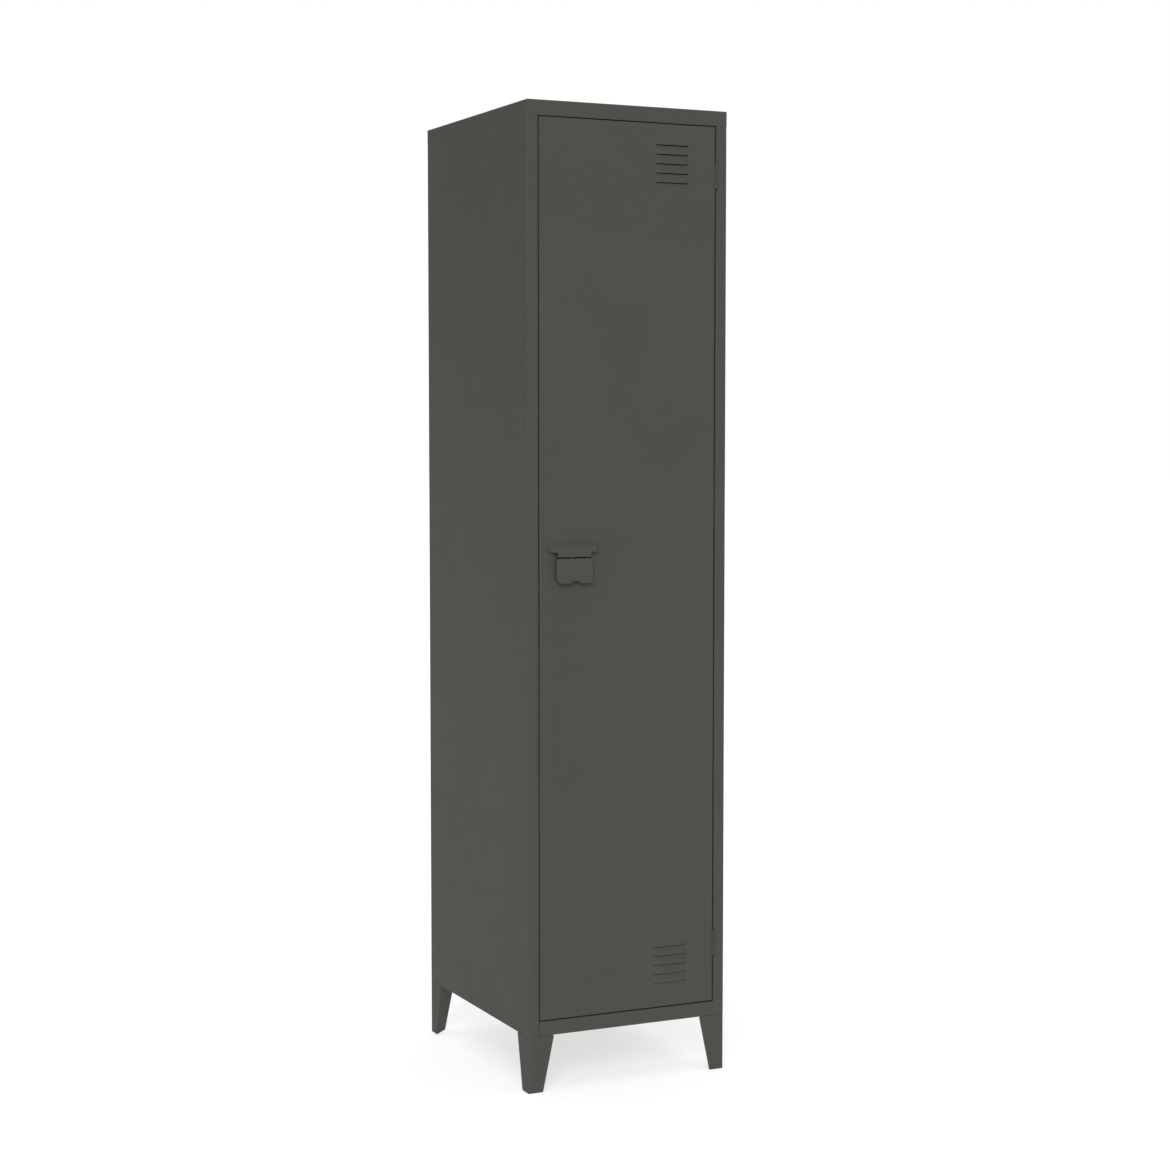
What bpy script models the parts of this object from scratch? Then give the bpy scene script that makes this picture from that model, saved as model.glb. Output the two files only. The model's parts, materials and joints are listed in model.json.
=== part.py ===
"""Single-door steel locker cabinet on four folded legs.

Frame: +X to the right, the door faces -Y, +Z up, origin on the floor under the middle of the body.
Lengths are in metres. The body is 1 mm sheet steel, folded and spot-welded, so pieces that are
welded together lie WELD_GAP apart.
"""

import math

import bmesh
import bpy
from mathutils import Matrix, Vector

MM = 0.001

# Driving dimensions of the cabinet
WIDTH = 415 * MM
DEPTH = 500 * MM
HEIGHT = 1850 * MM
LEG_HEIGHT = 108 * MM
SHEET = 1.0 * MM
WELD_GAP = 0.3 * MM

HALF = WIDTH / 2
FRONT = -DEPTH / 2
BACK = DEPTH / 2

# Front frame around the door
UPRIGHT_FACE = 22 * MM
CAP_SKIRT = 27.9 * MM
RAIL_FACE = 27.6 * MM
JAMB_DEPTH = 22 * MM
STOP_FLANGE = 14 * MM
REAR_RETURN = 15 * MM
PAN_LIP = 20 * MM
RIB_DEPTH = 3 * MM

SKIRT_EDGE = HEIGHT - CAP_SKIRT
PANEL_TOP = SKIRT_EDGE - WELD_GAP
SILL_TOP = LEG_HEIGHT + RAIL_FACE
OPENING_HALF = HALF - UPRIGHT_FACE
WALL_INNER = HALF - SHEET

# Door
DOOR_GAP = 2.0 * MM
HINGE_GAP = 2.6 * MM
DOOR_LEFT = DOOR_GAP - OPENING_HALF
DOOR_RIGHT = OPENING_HALF - HINGE_GAP
DOOR_BOTTOM = SILL_TOP + DOOR_GAP
DOOR_TOP = SKIRT_EDGE - DOOR_GAP
DOOR_DEPTH = 18 * MM
DOOR_LIP = 12 * MM
DOOR_INSIDE = FRONT + SHEET + WELD_GAP

# Louvers: two groups of five, towards the hinge side
LOUVER_COUNT = 5
LOUVER_PITCH = 17.5 * MM
LOUVER_LENGTH = 70 * MM
LOUVER_CENTRE = 91 * MM
LOUVER_RISE = 12.5 * MM
LOUVER_DEPTH = 3.4 * MM
LOUVER_MOUTH = 1.2 * MM
UPPER_LOUVER_Z = 1746 * MM
LOWER_LOUVER_Z = 220 * MM

# Hinges on the right-hand side
HINGE_X = OPENING_HALF + 0.4 * MM
HINGE_Y = FRONT + 1.0 * MM
HINGE_HEIGHTS = {"lower": 251 * MM, "upper": 1728 * MM}
KNUCKLE_RADIUS = 2.75 * MM
KNUCKLE_BORE = 1.95 * MM
KNUCKLE_SPAN = 49 * MM
PIN_RADIUS = 1.5 * MM
LEAF = 0.6 * MM
LEAF_DEPTH = 10.8 * MM
DOOR_LEAF_X = DOOR_RIGHT + WELD_GAP
FRAME_LEAF_X = OPENING_HALF - WELD_GAP - LEAF
NOTCH_CLEARANCE = 0.45 * MM

# Handle: a fixed hood over a hinged pull
HANDLE_X = 92 * MM - HALF
HOOD_WIDTH = 106 * MM
HOOD_RISE = 10 * MM
HOOD_TOP = 1037 * MM
HOOD_EDGE = 1019 * MM
HOOD_TOP_DRAFT = 10 * MM
HOOD_END_DRAFT = 6 * MM
TONGUE_WIDTH = 68 * MM
TONGUE_EDGE = 1010 * MM
HOOD_WALL = 1.5 * MM
BOSS_RADIUS = 4 * MM
BACKING = 1.2 * MM
SCREW_SPACING = 80 * MM
SCREW_Z = 1024 * MM
SCREW_RADIUS = 1.8 * MM

PIVOT_Y = FRONT - 5.3 * MM
PIVOT_Z = 1012 * MM
PIVOT_RADIUS = 1.5 * MM
PIVOT_BORE = 1.85 * MM
HUB_RADIUS = 2.7 * MM
HUB_SPACING = 27.5 * MM
PADDLE_WIDTH = 74 * MM
PADDLE_TOP = 1007.5 * MM
PADDLE_BOTTOM = 961 * MM
PADDLE_RISE_TOP = 10 * MM
PADDLE_RISE_BOTTOM = 13 * MM
PADDLE_WALL = 2.0 * MM
PADDLE_CORNER = 8 * MM
PADDLE_CLEARANCE = 1.5 * MM
NOTCH_WIDTH = 16 * MM
NOTCH_HEIGHT = 4 * MM
TAIL_REACH = 14 * MM
TAIL_HALF = 1.4 * MM
SPRING_WIRE = 0.4 * MM
SPRING_RADIUS = 2.4 * MM
SPRING_PITCH = 1.2 * MM
SPRING_TURNS = 5

# Latch bar inside the door, pushed down by the handle's tail
BAR_LEFT = -176 * MM
BAR_WIDTH = 16 * MM
BAR_FRONT = FRONT + 5.5 * MM
BAR_THICKNESS = 2.5 * MM
BAR_BOTTOM = 420 * MM
BAR_TOP = 1590 * MM
HOOK_HEIGHTS = {"lower": 480 * MM, "middle": 975 * MM, "upper": 1530 * MM}
GUIDE_HEIGHTS = {"1": 440 * MM, "2": 700 * MM, "3": 1250 * MM, "4": 1570 * MM}
HOOK_X = -164.5 * MM
HOOK_THICKNESS = 3 * MM
STRIKE_LEFT = -185 * MM
STRIKE_RIGHT = -155 * MM
STRIKE_FRONT = FRONT + JAMB_DEPTH + SHEET + WELD_GAP
STRIKE_THICKNESS = 1.5 * MM
BUFFER_HEIGHTS = {"lower": 330 * MM, "middle": 1120 * MM, "upper": 1670 * MM}

# Legs
LEG_TOP_FLANGE = 54 * MM
LEG_FOOT_FLANGE = 31 * MM
LEG_SHEET = 1.5 * MM
LEG_EDGE = 0.8 * MM
PLUG_HEIGHT = 12 * MM

# Inside
SHELF_TOP = 1520 * MM
SHELF_FOLD = 22 * MM
SHELF_LIP = 10 * MM
RAIL_Z = 1462 * MM
RAIL_RADIUS = 10 * MM
RAIL_BORE = 8.7 * MM
SOCKET_FLANGE = 2 * MM
SOCKET_DEPTH = 12 * MM

STEEL_GREY = (0.060, 0.057, 0.050)


def clear_scene():
    for item in list(bpy.data.objects):
        bpy.data.objects.remove(item, do_unlink=True)


def material(name, colour, roughness, metallic):
    made = bpy.data.materials.get(name) or bpy.data.materials.new(name)
    made.use_nodes = True
    shader = made.node_tree.nodes["Principled BSDF"]
    shader.inputs["Base Color"].default_value = (*colour, 1.0)
    shader.inputs["Roughness"].default_value = roughness
    shader.inputs["Metallic"].default_value = metallic
    return made


def paint():
    return material("powder_coat_grey", STEEL_GREY, 0.55, 0.0)


def zinc():
    return material("zinc_plated_steel", (0.45, 0.46, 0.47), 0.38, 1.0)


def black_plastic():
    return material("black_plastic", (0.025, 0.025, 0.026), 0.5, 0.0)


def rubber():
    return material("buffer_rubber", (0.02, 0.02, 0.02), 0.85, 0.0)


def add_object(name, bm, surface, smooth=False):
    """Turn a bmesh into a linked object with one material."""
    mesh = bpy.data.meshes.new(name)
    bm.to_mesh(mesh)
    bm.free()
    mesh.materials.append(surface)
    if smooth:
        mesh.shade_smooth()
        mesh.set_sharp_from_angle(angle=math.radians(35))
    made = bpy.data.objects.new(name, mesh)
    bpy.context.scene.collection.objects.link(made)
    return made


def to_world(axis, u, v, w):
    """Place (u, v) of a section and w along its axis: (x, y) for Z, (y, z) for X, (x, z) for Y."""
    if axis == "Z":
        return Vector((u, v, w))
    if axis == "Y":
        return Vector((u, w, v))
    return Vector((w, u, v))


def apply_modifiers(target):
    """Replace the mesh by its evaluated copy and drop the modifiers."""
    graph = bpy.context.evaluated_depsgraph_get()
    mesh = bpy.data.meshes.new_from_object(target.evaluated_get(graph))
    target.modifiers.clear()
    target.data = mesh


def combine(target, tool, operation):
    """Join or cut the target with the tool, which is used up."""
    modifier = target.modifiers.new("shape", "BOOLEAN")
    modifier.operation = operation
    modifier.object = tool
    apply_modifiers(target)
    bpy.data.objects.remove(tool, do_unlink=True)
    return target


def thicken(target, thickness):
    """Give a skin its sheet thickness, behind its outer faces."""
    modifier = target.modifiers.new("sheet", "SOLIDIFY")
    modifier.thickness = thickness
    modifier.offset = -1.0
    modifier.use_even_offset = True
    return target


def skin_object(name, points, faces, thickness, surface):
    """A sheet-metal piece from its outer skin, whose faces are wound to point outwards."""
    bm = bmesh.new()
    corners = [bm.verts.new(point) for point in points]
    for face in faces:
        bm.faces.new([corners[index] for index in face])
    return thicken(add_object(name, bm, surface), thickness)


def folded_strip(name, section, start, end, thickness, surface, axis="Z"):
    """A strip folded along the section, whose outer side lies to the right of its direction."""
    points = []
    for u, v in section:
        points.append(to_world(axis, u, v, start))
        points.append(to_world(axis, u, v, end))
    faces = []
    for step in range(len(section) - 1):
        first = 2 * step
        faces.append((first, first + 2, first + 3, first + 1))
    return skin_object(name, points, faces, thickness, surface)


def rectangle(u0, u1, v0, v1):
    return [(u0, v0), (u1, v0), (u1, v1), (u0, v1)]


def circle_point(u, v, radius, angle):
    return (u + radius * math.cos(angle), v + radius * math.sin(angle))


def circle(u, v, radius, segments=16):
    turn = 2 * math.pi / segments
    return [circle_point(u, v, radius, turn * step) for step in range(segments)]


def arc(u, v, radius, start, end, steps):
    """Points on an arc, with its angles in degrees."""
    turn = (end - start) / steps
    return [circle_point(u, v, radius, math.radians(start + turn * step)) for step in range(steps + 1)]


def add_loop(bm, points):
    """A closed ring of edges through the points."""
    ring = [bm.verts.new(point) for point in points]
    for index, vertex in enumerate(ring):
        bm.edges.new((vertex, ring[(index + 1) % len(ring)]))
    return ring


def plate(name, outline, low, high, surface, axis="Z", holes=(), smooth=False):
    """A plate with the outline and its holes, from low to high along the axis."""
    bm = bmesh.new()
    for loop in (outline, *holes):
        add_loop(bm, [to_world(axis, u, v, low) for u, v in loop])
    bmesh.ops.triangle_fill(bm, edges=bm.edges[:], use_beauty=True)
    grown = bmesh.ops.extrude_face_region(bm, geom=bm.faces[:])
    moved = [item for item in grown["geom"] if isinstance(item, bmesh.types.BMVert)]
    bmesh.ops.translate(bm, verts=moved, vec=to_world(axis, 0, 0, high - low))
    bmesh.ops.recalc_face_normals(bm, faces=bm.faces[:])
    return add_object(name, bm, surface, smooth)


def block(name, x0, x1, y0, y1, z0, z1, surface):
    return plate(name, rectangle(x0, x1, y0, y1), z0, z1, surface)


def tray(name, half_x, y0, y1, plate_z, rim_z, lip, surface):
    """An upside-down sheet tray: a top plate, four walls and a lip turned in at the rim."""
    points = []
    for inset, z in ((0.0, plate_z), (0.0, rim_z), (lip, rim_z)):
        x = half_x - inset
        near = y0 + inset
        far = y1 - inset
        points += [(-x, near, z), (x, near, z), (x, far, z), (-x, far, z)]
    faces = [(0, 1, 2, 3)]
    for side in range(4):
        following = (side + 1) % 4
        faces.append((side + 4, following + 4, following, side))
        faces.append((side + 8, following + 8, following + 4, side + 4))
    return skin_object(name, points, faces, SHEET, surface)


def follow(parent, items):
    """Parent the pieces to an empty without moving them."""
    for item in items:
        item.parent = parent
        item.matrix_parent_inverse = Matrix.Translation(parent.location).inverted()


def joint_axis(name, location):
    made = bpy.data.objects.new(name, None)
    made.location = location
    bpy.context.scene.collection.objects.link(made)
    return made


# ---------------------------------------------------------------- body

def side_panel(name, side):
    """Side wall folded round into the rear return, the front upright, the jamb and the door stop."""
    section = [
        (HALF - REAR_RETURN, BACK),
        (HALF, BACK),
        (HALF, FRONT),
        (OPENING_HALF, FRONT),
        (OPENING_HALF, FRONT + JAMB_DEPTH),
        (OPENING_HALF - STOP_FLANGE, FRONT + JAMB_DEPTH),
    ]
    section = [(side * x, y) for x, y in section]
    if side > 0:
        section.reverse()
    return folded_strip(name, section, LEG_HEIGHT, PANEL_TOP, SHEET, paint())


def notch_for_hinge(panel, height):
    """Open the upright's edge for the hinge knuckles."""
    reach = KNUCKLE_RADIUS + NOTCH_CLEARANCE
    half_span = KNUCKLE_SPAN / 2 + 1.8 * MM
    tool = block(
        "hinge_notch",
        OPENING_HALF - 2 * MM, HINGE_X + reach,
        FRONT - 2 * MM, HINGE_Y + reach,
        height - half_span, height + half_span,
        paint(),
    )
    combine(panel, tool, "DIFFERENCE")


def back_panel():
    """Rear sheet behind the returns, with two pressed stiffening ribs."""
    y = BACK - SHEET - WELD_GAP
    edge = WALL_INNER - WELD_GAP
    section = [(edge, y)]
    for centre in (100 * MM, -100 * MM):
        section += [
            (centre + 20 * MM, y),
            (centre + 14 * MM, y - RIB_DEPTH),
            (centre - 14 * MM, y - RIB_DEPTH),
            (centre - 20 * MM, y),
        ]
    section.append((-edge, y))
    return folded_strip("back_panel", section, LEG_HEIGHT + 1 * MM, PANEL_TOP, SHEET, paint())


def bottom_rail():
    """Front rail under the door, with an upturned door stop behind its sill."""
    half = OPENING_HALF - WELD_GAP
    stop_y = FRONT + JAMB_DEPTH - 1.3 * MM
    section = [
        (stop_y, SILL_TOP + 10 * MM),
        (stop_y, SILL_TOP),
        (FRONT, SILL_TOP),
        (FRONT, LEG_HEIGHT),
        (FRONT + 16 * MM, LEG_HEIGHT),
    ]
    return folded_strip("bottom_rail", section, -half, half, SHEET, paint(), axis="X")


def floor_pan():
    """Upside-down tray between the walls, from the door stops to just short of the back's ribs."""
    near = FRONT + JAMB_DEPTH + SHEET + WELD_GAP
    far = BACK - 2 * SHEET - RIB_DEPTH - 1.5 * MM
    return tray(
        "floor_pan", WALL_INNER - WELD_GAP, near, far, SILL_TOP, LEG_HEIGHT, PAN_LIP, paint()
    )


def top_cap():
    return tray("top_cap", HALF, FRONT, BACK, HEIGHT, SKIRT_EDGE, 12 * MM, paint())


def head_stop():
    """Angle behind the top edge of the door, hung between the side panels' uprights."""
    half = OPENING_HALF - STOP_FLANGE - WELD_GAP
    y = FRONT + JAMB_DEPTH - SHEET
    top = PANEL_TOP
    section = [(y + 24 * MM, top), (y, top), (y, top - 14 * MM)]
    return folded_strip("door_head_stop", section, -half, half, SHEET, paint(), axis="X")


def leg(name, side, end):
    """Tapered leg folded from sheet: two outer faces, a diagonal inner face and a closed top."""
    corner_x = side * HALF
    corner_y = end * BACK
    points = []
    top = LEG_HEIGHT - WELD_GAP
    for flange, z in ((LEG_TOP_FLANGE, top), (LEG_FOOT_FLANGE, LEG_EDGE)):
        points.append((corner_x, corner_y, z))
        points.append((corner_x - side * flange, corner_y, z))
        points.append((corner_x, corner_y - end * flange, z))
    faces = [(0, 1, 2), (0, 3, 4, 1), (1, 4, 5, 2), (2, 5, 3, 0)]
    if side * end < 0:
        faces = [face[::-1] for face in faces]
    return skin_object(name, points, faces, LEG_SHEET, paint())


def foot_plug(name, side, end):
    """Plastic plug in the foot of a leg, standing just below the steel edge."""
    inset = LEG_SHEET + WELD_GAP
    flange = LEG_FOOT_FLANGE - inset * (2 + math.sqrt(2))
    corner = (side * (HALF - inset), end * (BACK - inset))
    outline = [
        corner,
        (corner[0] - side * flange, corner[1]),
        (corner[0], corner[1] - end * flange),
    ]
    return plate(name, outline, 0.0, PLUG_HEIGHT, black_plastic())


# ---------------------------------------------------------------- door

def louver_rows(x):
    """Grid of a hood's points: its top row and ends lie on the door, its bottom row is free."""
    half = LOUVER_LENGTH / 2
    end_run = 7 * MM
    columns = [
        (-half, 0.0), (-half + end_run / 2, 0.75), (-half + end_run, 1.0),
        (half - end_run, 1.0), (half - end_run / 2, 0.75), (half, 0.0),
    ]
    rows = [(1.0, 0.0), (0.70, 0.45), (0.35, 0.85), (0.0, 1.0)]
    return [
        [(x + offset, FRONT - LOUVER_DEPTH * swell * lift, LOUVER_RISE * rise) for offset, swell in columns]
        for rise, lift in rows
    ]


def add_louver(bm, x, z):
    """Corner grid of one hood, and the ring of edges that it leaves open in the door."""
    grid = []
    for row in louver_rows(x):
        grid.append([bm.verts.new((px, py, z + pz)) for px, py, pz in row])
    half = LOUVER_LENGTH / 2
    sill_left = bm.verts.new((x - half, FRONT, z - LOUVER_MOUTH))
    sill_right = bm.verts.new((x + half, FRONT, z - LOUVER_MOUTH))
    left = [row[0] for row in grid]
    right = [row[-1] for row in grid]
    ring = left[::-1] + grid[0][1:-1] + right + [sill_right, sill_left]
    edges = []
    for index, vertex in enumerate(ring):
        edges.append(bm.edges.new((vertex, ring[(index + 1) % len(ring)])))
    return grid, edges


def door_skin():
    """Folded door pan with louvers, the tail slot and the two handle screw holes."""
    bm = bmesh.new()
    corners = rectangle(DOOR_LEFT, DOOR_RIGHT, DOOR_BOTTOM, DOOR_TOP)
    front_ring = add_loop(bm, [(x, FRONT, z) for x, z in corners])
    edges = bm.edges[:]
    hoods = []
    for group in (LOWER_LOUVER_Z, UPPER_LOUVER_Z):
        for step in range(LOUVER_COUNT):
            z = group + (step - (LOUVER_COUNT - 1) / 2) * LOUVER_PITCH
            grid, ring = add_louver(bm, LOUVER_CENTRE, z)
            hoods.append(grid)
            edges += ring
    slot = rectangle(HANDLE_X - 5 * MM, HANDLE_X + 5 * MM, PIVOT_Z - 7 * MM, PIVOT_Z + 3 * MM)
    for hole in (slot, *screw_holes()):
        before = set(bm.edges)
        add_loop(bm, [(x, FRONT, z) for x, z in hole])
        edges += [edge for edge in bm.edges if edge not in before]
    bmesh.ops.triangle_fill(bm, edges=edges, use_beauty=True)
    for face in bm.faces:
        face.normal_update()
        if face.normal.y > 0:
            face.normal_flip()
    for grid in hoods:
        for upper, lower in zip(grid, grid[1:]):
            for column in range(len(upper) - 1):
                bm.faces.new((upper[column], lower[column], lower[column + 1], upper[column + 1]))
    add_door_edges(bm, front_ring)
    return thicken(add_object("door_skin", bm, paint()), SHEET)


def add_door_edges(bm, front_ring):
    """Fold the four edges back and turn the lips inwards."""
    rings = [front_ring]
    back = FRONT + DOOR_DEPTH
    for inset in (0.0, DOOR_LIP):
        corners = rectangle(
            DOOR_LEFT + inset, DOOR_RIGHT - inset, DOOR_BOTTOM + inset, DOOR_TOP - inset
        )
        rings.append([bm.verts.new((x, back, z)) for x, z in corners])
    for near, far in zip(rings, rings[1:]):
        for side in range(4):
            following = (side + 1) % 4
            bm.faces.new((near[following], near[side], far[side], far[following]))


def door_stiffener():
    """Hat channel welded down the middle of the door."""
    y = DOOR_INSIDE
    crown = FRONT + DOOR_DEPTH - 3 * MM
    section = [
        (38 * MM, y + SHEET),
        (25 * MM, y + SHEET),
        (20 * MM, crown),
        (-20 * MM, crown),
        (-25 * MM, y + SHEET),
        (-38 * MM, y + SHEET),
    ]
    clear = SHEET + WELD_GAP + 1 * MM
    return folded_strip(
        "door_stiffener", section, DOOR_BOTTOM + clear, DOOR_TOP - clear, SHEET, paint()
    )


def knuckle(height, low, high):
    """Bored ring round the hinge axis, from low to high about the hinge's middle."""
    return plate(
        "knuckle", circle(HINGE_X, HINGE_Y, KNUCKLE_RADIUS), height + low, height + high, paint(),
        holes=[circle(HINGE_X, HINGE_Y, KNUCKLE_BORE)], smooth=True,
    )


def hinge_leaf(name, height, x, tab_start, spans):
    """Leaf beside the door's edge, with a tab and a knuckle for each span along the pin."""
    half = KNUCKLE_SPAN / 2
    start = HINGE_Y + KNUCKLE_RADIUS + NOTCH_CLEARANCE
    leaf = block(name, x, x + LEAF, start, start + LEAF_DEPTH, height - half, height + half, paint())
    for low, high in spans:
        tab = block("tab", x, x + LEAF, tab_start, start + LEAF, height + low, height + high, paint())
        combine(leaf, tab, "UNION")
        combine(leaf, knuckle(height, low, high), "UNION")
    return leaf


def hinge_door_leaf(name, height):
    """Upper and lower knuckle with the leaf on the door's edge."""
    half = KNUCKLE_SPAN / 2
    third = KNUCKLE_SPAN / 6 + 0.3 * MM
    return hinge_leaf(name, height, DOOR_LEAF_X, HINGE_Y - 0.4 * MM, [(-half, -third), (third, half)])


def hinge_frame_leaf(name, height):
    """Middle knuckle with the leaf on the jamb."""
    third = KNUCKLE_SPAN / 6 - 0.1 * MM
    return hinge_leaf(name, height, FRAME_LEAF_X, HINGE_Y + 2.1 * MM, [(-third, third)])


def hinge_pin(name, height):
    """Headed pin through the three knuckles."""
    bottom = height - KNUCKLE_SPAN / 2
    top = height + KNUCKLE_SPAN / 2
    shank = plate(
        name, circle(HINGE_X, HINGE_Y, PIN_RADIUS), bottom - 0.8 * MM, top + 0.8 * MM, paint(), smooth=True
    )
    head_circle = circle(HINGE_X, HINGE_Y, KNUCKLE_RADIUS - 0.25 * MM)
    return combine(shank, plate("head", head_circle, top + WELD_GAP, top + 1.4 * MM, paint()), "UNION")


# ---------------------------------------------------------------- handle

def screw_holes():
    """Clearance holes for the two screws that hold the hood."""
    radius = SCREW_RADIUS + 0.5 * MM
    return [circle(HANDLE_X + side * SCREW_SPACING / 2, SCREW_Z, radius, 12) for side in (-1, 1)]


def hood_outline(inset):
    """Front view of the hood, with its tongue, inset all round except at the tongue's open edge."""
    half = HOOD_WIDTH / 2 - inset
    tongue = TONGUE_WIDTH / 2 - inset
    radius = 3 * MM - inset
    top = HOOD_TOP - inset
    edge = HOOD_EDGE + inset
    x = HANDLE_X
    outline = [(x - tongue, TONGUE_EDGE), (x + tongue, TONGUE_EDGE), (x + tongue, edge)]
    outline += arc(x + half - radius, edge + radius, radius, -90, 0, 3)
    outline += arc(x + half - radius, top - radius, radius, 0, 90, 3)
    outline += arc(x - half + radius, top - radius, radius, 90, 180, 3)
    outline += arc(x - half + radius, edge + radius, radius, 180, 270, 3)
    outline.append((x - tongue, edge))
    return outline


def front_plate(name, outline, near, far, surface, holes=()):
    """A plate seen from the front, with its outline in (x, z), from y = near to y = far."""
    return plate(name, outline, near, far, surface, axis="Y", holes=holes)


def pivot_bore(reach):
    """Cutter for the pivot pin's hole."""
    section = circle(PIVOT_Y, PIVOT_Z, PIVOT_BORE)
    return plate("bore", section, HANDLE_X - reach, HANDLE_X + reach, paint(), axis="X")


def draft_hood(target):
    """Slope the hood's top and ends, so that its face is smaller than its foot; its under edge stays."""
    for vertex in target.data.vertices:
        point = vertex.co
        if point.z < HOOD_EDGE - SHEET:
            continue
        share = (FRONT - point.y) / HOOD_RISE
        offset = (point.x - HANDLE_X) / (HOOD_WIDTH / 2)
        above = (point.z - HOOD_EDGE) / (HOOD_TOP - HOOD_EDGE)
        point.x -= HOOD_END_DRAFT * share * offset
        point.z -= HOOD_TOP_DRAFT * share * above


def handle_hood():
    """Cast hood with drafted walls, pin holes in its tongue and two screw bosses."""
    face = FRONT - HOOD_RISE
    foot = FRONT - WELD_GAP
    behind = foot + 1 * MM
    hood = front_plate("handle_hood", hood_outline(0.0), face, foot, paint())
    draft_hood(hood)
    cavity_outline = hood_outline(HOOD_WALL)
    for corner in (0, 1):
        cavity_outline[corner] = (cavity_outline[corner][0], TONGUE_EDGE - 1 * MM)
    cavity = front_plate("cavity", cavity_outline, face + HOOD_WALL, behind, paint())
    draft_hood(cavity)
    for side in (-1, 1):
        boss = circle(HANDLE_X + side * SCREW_SPACING / 2, SCREW_Z, BOSS_RADIUS)
        combine(cavity, front_plate("boss", boss, face, behind + 1 * MM, paint()), "DIFFERENCE")
    combine(hood, cavity, "DIFFERENCE")
    for side in (-1, 1):
        pilot = circle(HANDLE_X + side * SCREW_SPACING / 2, SCREW_Z, SCREW_RADIUS + WELD_GAP, 12)
        combine(hood, front_plate("pilot", pilot, FRONT - 6.5 * MM, behind, paint()), "DIFFERENCE")
    reach = TONGUE_WIDTH / 2 + 1 * MM
    return combine(hood, pivot_bore(reach), "DIFFERENCE")


def hood_screw(name, side):
    """Pan-head screw driven from inside the door into the hood's boss."""
    x = HANDLE_X + side * SCREW_SPACING / 2
    head_near = DOOR_INSIDE + BACKING + WELD_GAP
    section = circle(x, SCREW_Z, SCREW_RADIUS, 12)
    shank = front_plate(name, section, FRONT - 6 * MM, head_near + 0.5 * MM, zinc())
    head = front_plate("head", circle(x, SCREW_Z, 2 * SCREW_RADIUS), head_near, head_near + 2 * MM, zinc())
    return combine(shank, head, "UNION")


def backing_plate():
    """Reinforcing plate between the door skin and the screw heads."""
    half = HOOD_WIDTH / 2
    outline = rectangle(HANDLE_X - half, HANDLE_X + half, PIVOT_Z + 4 * MM, HOOD_TOP + 3 * MM)
    return front_plate(
        "handle_backing_plate", outline, DOOR_INSIDE, DOOR_INSIDE + BACKING, zinc(), holes=screw_holes()
    )


def paddle_outline(inset):
    """Front view of the pull, inset except at its lower edge, with rounded lower corners."""
    half = PADDLE_WIDTH / 2 - inset
    radius = PADDLE_CORNER - inset
    x = HANDLE_X
    outline = arc(x - half + radius, PADDLE_BOTTOM + radius, radius, 180, 270, 5)
    outline += arc(x + half - radius, PADDLE_BOTTOM + radius, radius, 270, 360, 5)
    outline += [(x + half, PADDLE_TOP - inset), (x - half, PADDLE_TOP - inset)]
    return outline


def lean_forward(target):
    """Shear the pull's face so that its lower edge stands further out than its upper edge."""
    height = PADDLE_TOP - PADDLE_BOTTOM
    face = FRONT - PADDLE_RISE_TOP
    base = FRONT - PADDLE_CLEARANCE
    for vertex in target.data.vertices:
        drop = (PADDLE_TOP - vertex.co.z) / height
        share = (vertex.co.y - base) / (face - base)
        vertex.co.y -= (PADDLE_RISE_BOTTOM - PADDLE_RISE_TOP) * drop * max(0.0, share)


def paddle():
    """Hinged pull: a hollow shell open behind and below, three hubs and the tail to the latch bar."""
    face = FRONT - PADDLE_RISE_TOP
    base = FRONT - PADDLE_CLEARANCE
    beyond = base + 1 * MM
    shell = front_plate("handle_paddle", paddle_outline(0.0), face, base, paint())
    cavity = front_plate("cavity", paddle_outline(PADDLE_WALL), face + PADDLE_WALL, beyond, paint())
    combine(shell, cavity, "DIFFERENCE")
    mouth_half = PADDLE_WIDTH / 2 - PADDLE_CORNER
    mouth = block(
        "mouth", HANDLE_X - mouth_half, HANDLE_X + mouth_half, face + PADDLE_WALL, beyond,
        PADDLE_BOTTOM - 1 * MM, PADDLE_BOTTOM + PADDLE_WALL, paint(),
    )
    combine(shell, mouth, "DIFFERENCE")
    combine(shell, front_plate("notch", finger_notch(), face - 1 * MM, beyond, paint()), "DIFFERENCE")
    lean_forward(shell)
    for side in (-1, 0, 1):
        combine(shell, paddle_hub(HANDLE_X + side * HUB_SPACING, tail=side == 0), "UNION")
    return combine(shell, pivot_bore(TONGUE_WIDTH / 2), "DIFFERENCE")


def finger_notch():
    """Shallow notch in the middle of the pull's lower edge, with chamfered corners."""
    half = NOTCH_WIDTH / 2
    shoulder = PADDLE_BOTTOM + NOTCH_HEIGHT / 2
    top = PADDLE_BOTTOM + NOTCH_HEIGHT
    below = PADDLE_BOTTOM - 1 * MM
    right = [(half, below), (half, shoulder), (0.7 * half, top)]
    left = [(-u, v) for u, v in reversed(right)]
    return [(HANDLE_X + u, v) for u, v in right + left]


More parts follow.
